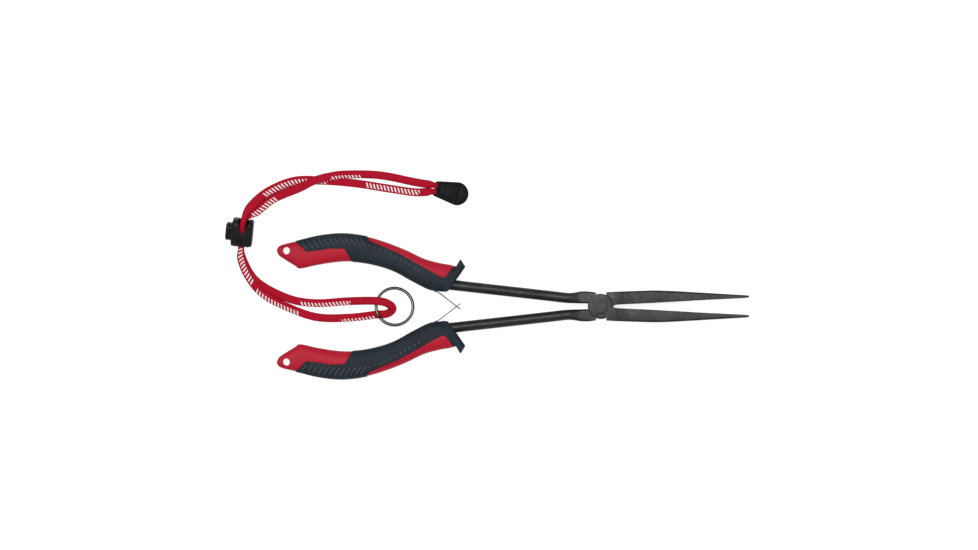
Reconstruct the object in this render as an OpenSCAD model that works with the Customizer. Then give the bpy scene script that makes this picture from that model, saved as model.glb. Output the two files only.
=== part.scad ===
/* [Size] */
// Length of the pliers from tail to jaw tips
total_l = 280; // [276:1:284]
// Thickness of the grips, on which the pliers lie
grip_t = 14; // [13:0.5:15]

/* [Lap joint] */
// Place of the pivot along the pliers, from the middle of their length
pivot_x = 52; // [51:0.5:53]
// Radius of the two lap discs
lap_r = 7.5; // [7.3:0.1:7.7]
// Thickness of the two laps together
joint_t = 11; // [10.5:0.5:11.5]
// Gap between the two laps
lap_gap = 0.1; // [0.05:0.05:0.2]
// Radius of the pivot rivet
rivet_r = 3; // [2.6:0.1:3.2]
// Running clearance round the rivet in each lever
rivet_clear = 0.06; // [0.02:0.01:0.1]
// Radius of the rivet's flush heads
rivet_head_r = 4.4; // [4:0.1:4.8]
// Thickness of the rivet's flush heads
rivet_head_t = 0.9; // [0.6:0.1:1.2]

/* [Jaws] */
// Thickness of a jaw at its tip
jaw_tip_t = 3; // [2.5:0.1:4]
// Pitch of the fine teeth on the gripping faces
tooth_pitch = 1.25; // [1:0.05:2]
// Depth of the fine teeth
tooth_depth = 0.25; // [0.1:0.05:0.35]

/* [Shafts and tangs] */
// Radius of the round shafts
shaft_r = 3.1; // [2.8:0.1:3.3]
// Half width of the flat tang inside a grip
tang_half_w = 2.6; // [2:0.1:2.8]
// Thickness of the tang
tang_t = 4.4; // [3.6:0.2:5]

/* [Grips] */
// Depth of the rubber over the hard core
sleeve_wall = 2.4; // [2:0.1:2.8]
// Squareness of a grip's cross-section, where 2 is an ellipse
grip_square = 2.3; // [2.2:0.1:2.6]
// Radius of the lanyard hole in each tail
tail_hole_r = 2.15; // [1.8:0.05:2.4]
// Thickness of the flat round the tail hole
tail_t = 9; // [8:0.5:10]

/* [Return spring] */
// Thickness of the spring leaves
leaf_t = 0.65; // [0.5:0.05:0.7]
// Width of the spring leaves
leaf_w = 6; // [5:0.5:6.5]
// Radius of the pins on which the leaves turn
spring_pin_r = 0.9; // [0.8:0.05:0.95]
// Length of the upper leaf past the place where the leaves cross
leaf_past = 2.6; // [2.5:0.1:2.8]

/* [Lanyard cord] */
// Width of the flattened tubular cord
cord_w = 4.3; // [4:0.1:4.4]
// Thickness of the flattened tubular cord
cord_t = 3.2; // [3:0.1:3.3]
// Width of each strand where the cord lock or the cord end pinches it
pinched_w = 3.4; // [3:0.1:3.5]
// Thickness of each strand where the cord lock or the cord end pinches it
pinched_t = 2.7; // [2.5:0.1:2.8]

/* [Split ring] */
// Outer radius of the split ring
ring_r = 11.9; // [11.7:0.1:12]
// Radial width of its flat wire
ring_wire_w = 1.75; // [1.5:0.05:2]
// Thickness of one turn of its wire
ring_wire_t = 1.25; // [1.1:0.05:1.3]
// Tilt of the ring where it rests on the cord
ring_tilt = 9.8; // [9.6:0.1:10]

/* [Cord lock] */
// Length of the lock body along its button
lock_w = 11.6; // [11.4:0.1:12]
// Length of the lock body along the cord
lock_l = 16; // [15.6:0.2:17]
// Height of the lock body
lock_h = 10.5; // [10.3:0.1:11]
// Turn of the lock seen from above
lock_yaw = -6.5; // [-8:0.5:-5]
// Tilt of the cord's way through the lock
lock_roll = 18; // [16:1:20]
// How far the button stands out
button_out = 4.7; // [4:0.1:5]
// How far the button can be pressed
button_travel = 1.6; // [1.2:0.1:1.6]

/* [Cord end] */
// Radius of the cord end's round end
end_r = 6.9; // [6.7:0.1:7.1]
// Length from the round end's centre to the mouth
end_l = 13.7; // [13.5:0.1:14]
// Half width of the mouth
end_mouth = 4.3; // [4.2:0.1:4.6]
// Thickness of the cord end
end_t = 8.6; // [8.4:0.1:9]

/* [Hidden] */
$fn = 48;
far = 60;
mid_z = grip_t / 2;
half_joint = joint_t / 2;
upper_lap_z = mid_z + lap_gap / 2;
lap_clear_r = lap_r + 0.3;
head_clear = 0.12;
tip_dx = total_l / 2 - pivot_x;

// The levers, seen from above, from the pivot: flange, then jaw
flange_top = [[-19, 7.8], [-14.5, 8.4], [-11, 9], [-6, 8.8], [-2.9, 8.2]];
flange_low = [[-2.9, 1.6], [-8, 1.7], [-19, 1.9]];
jaw_back = [[4, 0.6], [2.5, 5], [3.5, 8.4]];
jaw_out = [[22, 9.2], [32, 9.5], [42, 9.2], [tip_dx - 1.5, 6.7], [tip_dx, 6.1]];
jaw_root = [[10.3, 1.45], [7.6, 0.6]];
grip_face = [[54, 3.42], [tip_dx, 4.95]];
teeth = floor((tip_dx - 1 - grip_face[0][0]) / tooth_pitch);
// Half thickness of a lever along its length
lever_side = [
    [-22, 2.8], [-19, shaft_r], [-12, half_joint], [9, half_joint],
    [16, half_joint - 0.7], [tip_dx, jaw_tip_t / 2]
];
shaft_front = [35, 4.7];
shaft_back = [-42.5, 13.4];
tang_path = [
    [-40, 13.1], [-46, 15.8], [-53, 20], [-62, 25], [-74, 29.8],
    [-88, 33.8], [-102, 35.2], [-112, 34.4]
];

// Rungs across the upper grip, from the tail to the guard:
// outer x, outer y, inner x, inner y, half thickness
grip_rungs = [
    [-140, 34, -139.6, 31.6, 4.3], [-138, 36.2, -137, 28.6, 4.5],
    [-134, 37.8, -131.5, 25, 4.6], [-127, 39.4, -126, 22.6, 5],
    [-115, 42.2, -115, 25, 6], [-102, 43.5, -102, 27, 6.8],
    [-89, 42.2, -92, 26.7, 7], [-76.5, 38.8, -82, 24.8, 7],
    [-64, 34, -71, 20.8, 7], [-52.5, 28.6, -59.5, 14.6, 7],
    [-43.5, 26.1, -50, 9.9, 6.8], [-35.5, 24.5, -43.5, 8.9, 6.5],
    [-31.2, 21.5, -39.5, 8.6, 6.2]
];
guard_plan = [
    [-34.6, 22.6], [-32.8, 26.2], [-31.2, 28], [-29.4, 27], [-28.3, 24],
    [-32.2, 18.6], [-37, 18]
];
guard_half_t = 6.6;
// Where the hard core shows: at the tail, and along the outer strip
tail_plan = [
    [-131.5, 41], [-122.3, 32.5], [-115, 33.5], [-108, 34.7], [-100.5, 34.5],
    [-94.5, 24], [-94.5, 10], [-150, 10], [-150, 41]
];
strip_plan = [
    [-88.5, 46], [-85.2, 38.9], [-76.5, 35.2], [-68, 31.6], [-51.6, 22.4],
    [-42.7, 17.4], [-40.3, 17.4], [-34.4, 26], [-34.4, 46]
];
core_rungs = [for (i = [0:len(grip_rungs) - 2]) grip_rungs[i]];
tail_hole = [-134.3, 33];
ring_sides = 16;

// The return spring: place of the upper pin, and of the leaves' crossing
spring_pin = [-47.5, 11];
leaf_cross_x = -33.4;
leaf_l = norm([leaf_cross_x, 0] - spring_pin);
leaf_angle = atan2(-spring_pin[1], leaf_cross_x - spring_pin[0]);
eye_r = spring_pin_r + leaf_t;
leaf_swing = [28, 23];
eye_room_r = eye_r + 0.6;
room_reach = 18;
// The core's lug that holds the pin's ends, above and below the leaf's room
lug_w = 4.2;
lug_l = 6;
pin_reach = 4.3;
window_from = leaf_l - 1;
window_to = leaf_l + leaf_past - 0.5;
window_w = 3.4;
tongue_from = leaf_l - 1.3;
tongue_w = 2.6;
bead_r = 0.5;

// The cord's route, from its first end inside the cord end, along the outside
// to the lock, round the loop at the ring, and back to the cord end
cord_route = [
    [-40.2, 70.5, 3.1], [-46.2, 71.9, 3.1], [-58, 73.8, 1.9], [-79, 77.9, 1.7],
    [-99, 78.4, 2.3], [-109, 77.1, 4.7], [-118, 74.6, 5.2], [-126, 70.8, 3.8],
    [-142, 64.2, 1.9], [-151.6, 57, 4], [-159.7, 50.8, 7.4], [-161.3, 36.7, 2.75],
    [-160.6, 28, 1.7], [-152.2, 14.7, 1.75], [-134.2, 4.9, 1.7], [-118, 1.9, 1.7],
    [-100, 2.9, 2], [-89.5, 3.3, 4.9], [-80.8, 3.2, 7.6], [-74.6, 1.9, 6.9],
    [-71.4, -1.2, 4.6], [-74.6, -4.3, 2.4], [-81.5, -5, 1.75], [-98, -6.8, 1.7],
    [-117, -6.4, 1.7], [-135.2, 0, 1.95], [-148.8, 7.6, 4], [-157.2, 18, 5],
    [-161.3, 28, 4.9], [-161.4, 35.8, 5.5], [-159.8, 50, 10.1], [-156.4, 58, 8.6],
    [-146, 67.8, 2.6], [-130, 74.4, 1.75], [-112, 74.6, 1.7], [-93, 73, 1.7],
    [-75, 70.2, 1.7], [-58, 67.8, 1.9], [-47, 68.2, 3.1], [-41.1, 66.9, 3.1]
];
cord_sides = 8;
steps_per_point = 2;

ring_at = [-70.5, -0.3];
ring_rise_dir = 220;
ring_gap = 0.1;
ring_step_in = 0.2;
lock_at = [-160.5, 43.8, 6.6];
lock_round = 3.5;
lock_hole = [5, 6];
// Outline of the mouth that opens towards the cord's curve, and its extra depth
lock_mouth = [[-2.4, 5.3], [2.4, 5.3], [5, 9], [-2.8, 9]];
mouth_down = 1;
button_size = [10.6, 7.8];
button_round = 3;
button_clear = 0.2;
lock_end_wall = 0.9;
button_far_x = 2.7;
button_hole_x = [-4.3, 2.1];
coil_r = 2.4;
coil_step = [0.45, 0.6];
coil_wire_r = 0.26;
end_at = [-33.3, 66.9];
end_axis = -13.5;
end_floor = 1.3;
lid_t = 2.4;
lid_hinge_u = -0.6;
lid_pin_r = 0.7;
lid_pin_clear = 0.08;
lid_gap = 0.25;
lid_inset = 1.3;
lid_knuckle_l = 2 * end_r - 2.8;
lid_pin_l = 2 * end_r - 1.2;
lid_pin_z = end_t - lid_t / 2;
knot_u = -4.4;
knot_r = 2;
knot_l = 7.6;
strand_v = 1.85;
strand_z = 3.1;
strand_end_u = -7.5;
chamber_from = -9.8;
chamber_l = 8.4;
chamber_w = 8.6;
channel_l = 6;
channel_w = 7.3;

// Point at t between b and c on a smooth curve through a, b, c and d
function smooth(a, b, c, d, t) =
    0.5 * (2 * b + (c - a) * t + (2 * a - 5 * b + 4 * c - d) * t * t
        + (3 * b - a - 3 * c + d) * t * t * t);
function at(p, i) = p[min(max(i, 0), len(p) - 1)];
function smooth_at(p, u) =
    let (i = min(floor(u), len(p) - 2))
    smooth(at(p, i - 1), at(p, i), at(p, i + 1), at(p, i + 2), u - i);
// Even steps along a smooth curve through the points, with its two ends
function smooth_path(p, per_point) =
    let (n = round((len(p) - 1) * per_point))
    [for (k = [0:n]) smooth_at(p, k * (len(p) - 1) / n)];
function reversed(p) = [for (i = [len(p) - 1:-1:0]) p[i]];
function mirrored_y(p) = [for (q = p) [q[0], -q[1]]];
function squared(v) = sign(v) * pow(abs(v), 2 / grip_square);
function unit(v) = v / norm(v);

// Triangles between rings of points, closed at both ends
module skin(rings) {
    n = len(rings[0]);
    last = len(rings) - 1;
    polyhedron(
        points = [for (r = rings) for (p = r) p],
        faces = concat(
            [for (i = [0:last - 1], k = [0:n - 1])
                [i * n + k, (i + 1) * n + k, i * n + (k + 1) % n]],
            [for (i = [0:last - 1], k = [0:n - 1])
                [(i + 1) * n + k, (i + 1) * n + (k + 1) % n, i * n + (k + 1) % n]],
            [for (k = [1:n - 2]) [0, k, k + 1]],
            [for (k = [1:n - 2]) [last * n, last * n + k + 1, last * n + k]]
        )
    );
}

// The same shape for the lower half: turned over about the pliers' long axis
module turned_over() translate([0, 0, grip_t]) rotate([180, 0, 0]) children();
module from_pivot() translate([pivot_x, 0, 0]) children();

// Outline of a band of constant half width along a path
function band(p, half_w) =
    let (
        n = len(p),
        side = [for (i = [0:n - 1])
            let (d = unit(at(p, i + 1) - at(p, i - 1))) [-d[1], d[0]] * half_w]
    )
    concat([for (i = [0:n - 1]) p[i] + side[i]], [for (i = [n - 1:-1:0]) p[i] - side[i]]);

module shaft_bar() {
    run = shaft_front - shaft_back;
    translate([shaft_back[0], shaft_back[1], mid_z])
        rotate([0, 0, atan2(run[1], run[0])])
            rotate([0, 90, 0])
                cylinder(r = shaft_r, h = norm(run));
}

module tang() {
    translate([0, 0, mid_z - tang_t / 2])
        linear_extrude(tang_t)
            polygon(band(smooth_path(tang_path, 2), tang_half_w));
}

module jaw_plan() {
    bite = [for (i = [0:teeth - 1], half = [0, 0.5])
        let (x = grip_face[0][0] + (i + half) * tooth_pitch)
        [x, grip_face[0][1] + (x - grip_face[0][0])
            * (grip_face[1][1] - grip_face[0][1]) / (grip_face[1][0] - grip_face[0][0])
            + (half > 0 ? tooth_depth : 0)]];
    polygon(mirrored_y(concat(jaw_back, jaw_out, [grip_face[1]], reversed(bite), jaw_root)));
}

module lever_side_solid() {
    low = [for (p = lever_side) [p[0], -p[1]]];
    translate([0, far, mid_z])
        rotate([90, 0, 0])
            linear_extrude(2 * far)
                polygon(concat(lever_side, reversed(low)));
}

// One lever before its rivet hole is made: jaw at -Y, handle at +Y, lap on top
module lever_blank() {
    from_pivot() difference() {
        intersection() {
            lever_side_solid();
            linear_extrude(grip_t) union() {
                polygon(concat(flange_top, flange_low));
                jaw_plan();
            }
        }
        translate([0, 0, -1]) cylinder(r = lap_clear_r, h = upper_lap_z + 1);
    }
    from_pivot()
        translate([0, 0, upper_lap_z])
            cylinder(r = lap_r, h = half_joint - lap_gap / 2);
    shaft_bar();
    tang();
}

// Rivet hole with a seat for the flush head, with their running clearances
module rivet_room() {
    from_pivot() {
        cylinder(r = rivet_r + rivet_clear, h = grip_t);
        translate([0, 0, mid_z + half_joint - rivet_head_t - head_clear])
            cylinder(r = rivet_head_r + head_clear, h = grip_t);
    }
}

module upper_lever() color([0.2, 0.21, 0.23]) difference() {
    lever_blank();
    rivet_room();
}

module lower_lever() color([0.2, 0.21, 0.23]) turned_over() difference() {
    lever_blank();
    rivet_room();
}

module pivot_rivet() color([0.55, 0.56, 0.58]) from_pivot() {
    translate([0, 0, mid_z - half_joint]) {
        cylinder(r = rivet_r, h = joint_t);
        cylinder(r = rivet_head_r, h = rivet_head_t);
        translate([0, 0, joint_t - rivet_head_t]) cylinder(r = rivet_head_r, h = rivet_head_t);
    }
}

// Ring of points round one rung of a grip, drawn in by an inset
function rung_ring(r, inset) =
    let (
        outer = [r[0], r[1]],
        inner = [r[2], r[3]],
        centre = (outer + inner) / 2,
        half = (outer - inner) / 2,
        arm = half * (norm(half) - inset) / norm(half)
    )
    [for (k = [0:ring_sides - 1])
        let (a = 360 * k / ring_sides, c = squared(cos(a)), s = squared(sin(a)))
        [centre[0] + arm[0] * c, centre[1] + arm[1] * c, mid_z + (r[4] - inset) * s]];

// A grip along its rungs; an inset is at most a fifth of a rung's length
module grip_solid(rungs, inset) {
    skin([
        for (r = smooth_path(rungs, 2))
            rung_ring(r, min(inset, norm([r[0] - r[2], r[1] - r[3]]) / 5))
    ]);
}

module through(plan) translate([0, 0, -1]) linear_extrude(grip_t + 2) polygon(plan);

// Room in a grip for the leaf, its eye and its swing
module spring_room() {
    from = leaf_angle + leaf_swing[0];
    to = leaf_angle - leaf_swing[1];
    translate([spring_pin[0], spring_pin[1], mid_z - leaf_w / 2 - 0.4])
        linear_extrude(leaf_w + 0.8)
            polygon(concat(
                [for (a = [to:-12:from - 360]) eye_room_r * [cos(a), sin(a)]],
                [for (a = [from, to]) room_reach * [cos(a), sin(a)]]
            ));
}

module spring_pin_bar() {
    translate([spring_pin[0], spring_pin[1], mid_z - pin_reach])
        cylinder(r = spring_pin_r, h = 2 * pin_reach);
}

// What the hard core takes up, before its holes are made
module core_mass() {
    intersection() {
        grip_solid(grip_rungs, 0);
        union() {
            through(tail_plan);
            through(strip_plan);
        }
    }
    grip_solid(core_rungs, sleeve_wall);
    translate([spring_pin[0] - lug_w / 2, spring_pin[1], mid_z - pin_reach])
        cube([lug_w, lug_l, 2 * pin_reach]);
}

module grip_core() difference() {
    union() {
        core_mass();
        translate([tail_hole[0], tail_hole[1], mid_z - tail_t / 2])
            cylinder(r = tail_hole_r + 1.3, h = tail_t);
    }
    shaft_bar();
    tang();
    spring_room();
    spring_pin_bar();
    translate([tail_hole[0], tail_hole[1], -1]) cylinder(r = tail_hole_r, h = grip_t + 2);
}

module grip_sleeve() difference() {
    union() {
        grip_solid(grip_rungs, 0);
        translate([0, 0, mid_z - guard_half_t])
            linear_extrude(2 * guard_half_t)
                polygon(guard_plan);
    }
    core_mass();
    through(tail_plan);
    shaft_bar();
    tang();
    spring_room();
    spring_pin_bar();
}

module upper_grip_core() color([0.62, 0.06, 0.08]) grip_core();
module lower_grip_core() color([0.62, 0.06, 0.08]) turned_over() grip_core();
module upper_grip_sleeve() color([0.2, 0.23, 0.27]) grip_sleeve();
module lower_grip_sleeve() color([0.2, 0.23, 0.27]) turned_over() grip_sleeve();

// Puts a leaf drawn along +X from its pin in place, on the upper half
module at_spring_pin()
    translate([spring_pin[0], spring_pin[1], mid_z]) rotate([0, 0, leaf_angle]) children();

module leaf_blade(from, to, width)
    translate([from, -leaf_t / 2, -width / 2]) cube([to - from, leaf_t, width]);

module leaf_eye() translate([0, 0, -leaf_w / 2]) cylinder(r = eye_r, h = leaf_w);

module upper_spring_leaf() color([0.3, 0.3, 0.32]) at_spring_pin() difference() {
    union() {
        leaf_eye();
        leaf_blade(1, leaf_l + leaf_past, leaf_w);
    }
    translate([0, 0, -leaf_w]) cylinder(r = spring_pin_r + 0.05, h = 2 * leaf_w);
    translate([window_from, -2, -window_w / 2])
        cube([window_to - window_from, 4, window_w]);
}

module lower_spring_leaf() color([0.3, 0.3, 0.32]) turned_over() at_spring_pin() difference() {
    union() {
        leaf_eye();
        leaf_blade(1, tongue_from, leaf_w);
        leaf_blade(tongue_from - 1, leaf_l + leaf_past, tongue_w);
        translate([leaf_l + leaf_past, 0, -tongue_w / 2]) cylinder(r = bead_r, h = tongue_w);
    }
    translate([0, 0, -leaf_w]) cylinder(r = spring_pin_r + 0.05, h = 2 * leaf_w);
}

module upper_spring_pin() color([0.6, 0.6, 0.62]) spring_pin_bar();
module lower_spring_pin() color([0.6, 0.6, 0.62]) turned_over() spring_pin_bar();

// How far a point of the cord is from being pinched in the lock or the end: 0 inside, 1 free
function freedom(p) = min(1, max(0, min(
    (norm(p - lock_at) - 9.5) / 6,
    (norm([p[0], p[1]] - end_at) - end_l - 0.5) / 6
)));
function cord_ring(p, d) =
    let (
        side = unit(cross([0, 0, 1], d)),
        up = cross(d, side),
        f = freedom(p),
        w = pinched_w + (cord_w - pinched_w) * f,
        t = pinched_t + (cord_t - pinched_t) * f
    )
    [for (k = [0:cord_sides - 1])
        let (a = 360 * (k + 0.5) / cord_sides)
        p + side * w / 2 * cos(a) + up * t / 2 * sin(a)];

module lanyard_cord() color([0.72, 0.1, 0.12]) {
    path = smooth_path(cord_route, steps_per_point);
    skin([for (i = [0:len(path) - 1]) cord_ring(path[i], unit(at(path, i + 1) - at(path, i - 1)))]);
}

module in_cord_end() translate([end_at[0], end_at[1], 0]) rotate([0, 0, end_axis]) children();

// Both ends of the cord, melted into one bar across the cord end
module cord_knot() color([0.72, 0.1, 0.12]) in_cord_end() {
    translate([knot_u, 0, end_floor + knot_r]) rotate([90, 0, 0])
        cylinder(r = knot_r, h = knot_l, center = true);
    for (v = [-strand_v, strand_v])
        translate([strand_end_u, v - pinched_w / 2, strand_z - pinched_t / 2])
            cube([knot_u - strand_end_u, pinched_w, pinched_t]);
}

// One turn of flat wire, open by 20 degrees
module ring_turn() rotate_extrude(angle = 340)
    translate([ring_r - ring_wire_w, 0]) square([ring_wire_w, ring_wire_t]);

// Two turns of flat wire, joined where one turn steps onto the other
module split_ring() color([0.75, 0.75, 0.74])
    translate([ring_at[0], ring_at[1], ring_r * sin(ring_tilt) + 0.02])
        rotate([0, 0, ring_rise_dir]) rotate([0, -ring_tilt, 0]) {
            ring_turn();
            rotate([0, 0, 10]) translate([0, 0, ring_wire_t + ring_gap]) ring_turn();
            rotate([0, 0, 40]) rotate_extrude(angle = 12)
                translate([ring_r - ring_wire_w + ring_step_in, ring_wire_t / 2])
                    square([ring_wire_w - 2 * ring_step_in, ring_wire_t + ring_gap]);
        }

function rounded_box(w, h, r) = [for (c = [0:3], k = [0:5])
    let (a = 90 * c + 18 * k, sx = (c == 0 || c == 3) ? 1 : -1, sy = c < 2 ? 1 : -1)
    [sx * (w / 2 - r) + r * cos(a), sy * (h / 2 - r) + r * sin(a)]];

module in_lock() translate(lock_at) rotate([0, 0, lock_yaw]) rotate([lock_roll, 0, 0]) children();
// A bar along the button's way, from one place to another
module along_button(from, to, w, h, r)
    translate([from, 0, 0]) rotate([90, 0, 90]) linear_extrude(to - from) polygon(rounded_box(w, h, r));
// The cord's way through the lock
module cord_way(from, to) translate([from, -20, -lock_hole[1] / 2]) cube([to - from, 40, lock_hole[1]]);

module cord_lock_body() color([0.08, 0.08, 0.09]) in_lock() difference() {
    along_button(-lock_w / 2, lock_w / 2, lock_l, lock_h, lock_round);
    along_button(
        -lock_w, lock_w / 2 - lock_end_wall,
        button_size[0] + 2 * button_clear, button_size[1] + 2 * button_clear, button_round
    );
    cord_way(-lock_hole[0] / 2, lock_hole[0] / 2);
    // The mouth opens wide towards the cord's curve
    translate([0, 0, -lock_hole[1] / 2 - mouth_down])
        linear_extrude(lock_h) polygon(lock_mouth);
}

module cord_lock_button() color([0.09, 0.09, 0.1]) in_lock() difference() {
    along_button(
        -lock_w / 2 - button_out, button_far_x,
        button_size[0], button_size[1], button_round
    );
    cord_way(button_hole_x[0], button_hole_x[1]);
}

module cord_lock_spring() color([0.7, 0.7, 0.7]) in_lock()
    translate([button_far_x, 0, 0]) rotate([0, 90, 0])
        for (turn = [0:2])
            translate([0, 0, coil_step[1] * (turn + 0.5)]) rotate_extrude()
                translate([coil_r - turn * coil_step[0], 0]) circle(r = coil_wire_r, $fn = 24);

module end_plan(inset) {
    polygon(concat(
        [for (a = [90:-15:-90]) (end_r - inset) * [cos(a), sin(a)]],
        [[-end_l + inset, -end_mouth + inset], [-end_l + inset, end_mouth - inset]]
    ));
}

// Outline of the lid from the mouth back to its hinge, grown by a gap
module lid_plan(gap) intersection() {
    end_plan(lid_inset - gap);
    translate([-end_l - 1, -end_r]) square([end_l + 1 + lid_hinge_u, 2 * end_r]);
}

module along_hinge(r, l)
    translate([lid_hinge_u, 0, lid_pin_z]) rotate([90, 0, 0]) cylinder(r = r, h = l, center = true);

module cord_end_body() color([0.09, 0.1, 0.11]) in_cord_end() difference() {
    knuckle_room = lid_t / 2 + lid_gap;
    linear_extrude(end_t) end_plan(0);
    // Seat for the lid, and room for it to turn
    translate([0, 0, end_t - lid_t - lid_gap]) linear_extrude(lid_t + 1) lid_plan(lid_gap);
    along_hinge(knuckle_room, lid_knuckle_l + 2 * lid_gap);
    translate([lid_hinge_u, -lid_knuckle_l / 2 - lid_gap, lid_pin_z])
        cube([knuckle_room, lid_knuckle_l + 2 * lid_gap, lid_t]);
    // Chamber for the knot, and the channel of the two strands
    translate([chamber_from, -chamber_w / 2, end_floor]) cube([chamber_l, chamber_w, end_t]);
    translate([-end_l - 1, -channel_w / 2, strand_z - pinched_t / 2 - 0.1])
        cube([channel_l, channel_w, pinched_t + 0.2]);
    along_hinge(lid_pin_r, lid_pin_l);
}

module cord_end_lid() color([0.1, 0.11, 0.12]) in_cord_end() difference() {
    union() {
        translate([0, 0, end_t - lid_t]) linear_extrude(lid_t) lid_plan(0);
        along_hinge(lid_t / 2, lid_knuckle_l);
    }
    along_hinge(lid_pin_r + lid_pin_clear, 4 * end_r);
}

module cord_end_pin() color([0.6, 0.6, 0.62]) in_cord_end() along_hinge(lid_pin_r, lid_pin_l);

upper_lever();
lower_lever();
pivot_rivet();
upper_grip_core();
lower_grip_core();
upper_grip_sleeve();
lower_grip_sleeve();
upper_spring_leaf();
lower_spring_leaf();
upper_spring_pin();
lower_spring_pin();
lanyard_cord();
cord_knot();
split_ring();
cord_lock_body();
cord_lock_button();
cord_lock_spring();
cord_end_body();
cord_end_lid();
cord_end_pin();
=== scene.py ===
import math

import bmesh
import bpy
import numpy as np
from mathutils import Matrix, Vector
from mathutils.bvhtree import BVHTree


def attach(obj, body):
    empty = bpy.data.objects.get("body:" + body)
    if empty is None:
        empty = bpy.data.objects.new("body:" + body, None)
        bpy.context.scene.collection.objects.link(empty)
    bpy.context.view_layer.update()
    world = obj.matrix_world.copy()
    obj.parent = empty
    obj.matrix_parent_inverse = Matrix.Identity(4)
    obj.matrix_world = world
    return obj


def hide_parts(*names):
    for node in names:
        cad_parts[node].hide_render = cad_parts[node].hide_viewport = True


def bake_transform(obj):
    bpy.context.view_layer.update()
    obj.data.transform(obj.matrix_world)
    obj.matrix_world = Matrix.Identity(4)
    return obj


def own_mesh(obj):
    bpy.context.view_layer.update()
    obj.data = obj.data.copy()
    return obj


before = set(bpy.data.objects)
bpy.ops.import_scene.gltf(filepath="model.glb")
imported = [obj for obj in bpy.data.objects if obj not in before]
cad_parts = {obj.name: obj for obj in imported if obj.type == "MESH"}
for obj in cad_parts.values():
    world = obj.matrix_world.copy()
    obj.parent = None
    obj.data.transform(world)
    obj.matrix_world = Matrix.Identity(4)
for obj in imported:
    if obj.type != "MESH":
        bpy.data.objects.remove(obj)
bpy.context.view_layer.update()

# Lengths are in millimetres until a mesh is made, and angles of edges in degrees. Meshes and
# texture distances are in metres.
MM = 0.001
CLEAN_REACH = 0.02
PIVOT_X = 52.0
MID_Z = 7.0
GRIP_T = 14.0

# ---------------------------------------------------------------- camera

CAMERA_HEIGHT = 2.1826
CAMERA_AIM = (-0.0142, 0.0186)
CAMERA_LENS, CAMERA_SENSOR = 135, 36


def make_camera():
    data = bpy.data.cameras.new("camera")
    data.lens = CAMERA_LENS
    data.sensor_width = CAMERA_SENSOR
    camera = bpy.data.objects.new("camera", data)
    camera.location = (*CAMERA_AIM, CAMERA_HEIGHT)
    bpy.context.scene.collection.objects.link(camera)
    bpy.context.scene.camera = camera


make_camera()

# ---------------------------------------------------------------- curves and meshes


def smooth_path(points, per_span):
    """Points on a smooth curve through the given ones, with its two ends."""
    p = np.asarray(points, float)
    count = (len(p) - 1) * per_span
    made = []
    for k in range(count + 1):
        u = k / per_span
        i = min(int(u), len(p) - 2)
        a, b, c, d = (p[min(max(j, 0), len(p) - 1)] for j in range(i - 1, i + 3))
        t = u - i
        made.append(0.5 * (2 * b + (c - a) * t + (2 * a - 5 * b + 4 * c - d) * t ** 2
                           + (3 * b - a - 3 * c + d) * t ** 3))
    return np.array(made)


def unit(v):
    return v / np.linalg.norm(v)


def mesh_from(name, points, faces):
    mesh = bpy.data.meshes.new(name)
    mesh.from_pydata([tuple(MM * np.asarray(p, float)) for p in points], [], faces)
    mesh.validate()
    bm = bmesh.new()
    bm.from_mesh(mesh)
    bmesh.ops.recalc_face_normals(bm, faces=bm.faces)
    bm.to_mesh(mesh)
    bm.free()
    return mesh


def new_object(name, mesh):
    obj = bpy.data.objects.new(name, mesh)
    bpy.context.scene.collection.objects.link(obj)
    return obj


def loft(name, rings):
    """A solid through rings of points, all with the same count, with a flat face at each end."""
    n, last = len(rings[0]), len(rings) - 1
    points = [p for ring in rings for p in ring]
    faces = []
    for i in range(last):
        for k in range(n):
            m = (k + 1) % n
            faces.append((i * n + k, i * n + m, (i + 1) * n + m, (i + 1) * n + k))
    faces.append(tuple(range(n))[::-1])
    faces.append(tuple(range(last * n, last * n + n)))
    return new_object(name, mesh_from(name, points, faces))


def prism(name, outline, low, high):
    return loft(name, [[(x, y, z) for x, y in outline] for z in (low, high)])


def turned(name, profile, centre=(0, 0), segments=64):
    """A solid of revolution about Z. The profile is (radius, z) from one end to the other."""
    angles = [2 * math.pi * k / segments for k in range(segments)]
    rings = [[(centre[0] + r * math.cos(a), centre[1] + r * math.sin(a), z) for a in angles]
             for r, z in profile]
    return loft(name, rings)


def applied(obj):
    """Replaces an object's mesh with what its modifiers make of it."""
    bpy.context.view_layer.update()
    graph = bpy.context.evaluated_depsgraph_get()
    mesh = bpy.data.meshes.new_from_object(obj.evaluated_get(graph))
    obj.modifiers.clear()
    obj.data = mesh
    return obj


def boolean(obj, other, operation):
    modifier = obj.modifiers.new("boolean", "BOOLEAN")
    modifier.operation = operation
    modifier.solver = "EXACT"
    modifier.object = other
    applied(obj)
    bpy.data.objects.remove(other)
    return obj


def join(obj, *others):
    for other in others:
        boolean(obj, other, "UNION")
    return obj


def cut(obj, *others):
    for other in others:
        boolean(obj, other, "DIFFERENCE")
    return obj


def cleaned(obj, reach):
    """Merges points closer than reach, in millimetres, and drops the faces that this flattens."""
    bm = bmesh.new()
    bm.from_mesh(obj.data)
    bmesh.ops.remove_doubles(bm, verts=bm.verts, dist=reach * MM)
    bmesh.ops.dissolve_degenerate(bm, edges=bm.edges, dist=reach * MM / 10)
    bm.to_mesh(obj.data)
    bm.free()
    return obj


def soften(obj, width, segments, angle):
    """Rounds the edges sharper than an angle, by a width in millimetres."""
    cleaned(obj, CLEAN_REACH)
    modifier = obj.modifiers.new("bevel", "BEVEL")
    modifier.width = width * MM
    modifier.segments = segments
    modifier.limit_method = "ANGLE"
    modifier.angle_limit = math.radians(angle)
    modifier.use_clamp_overlap = True
    return applied(obj)


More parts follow.
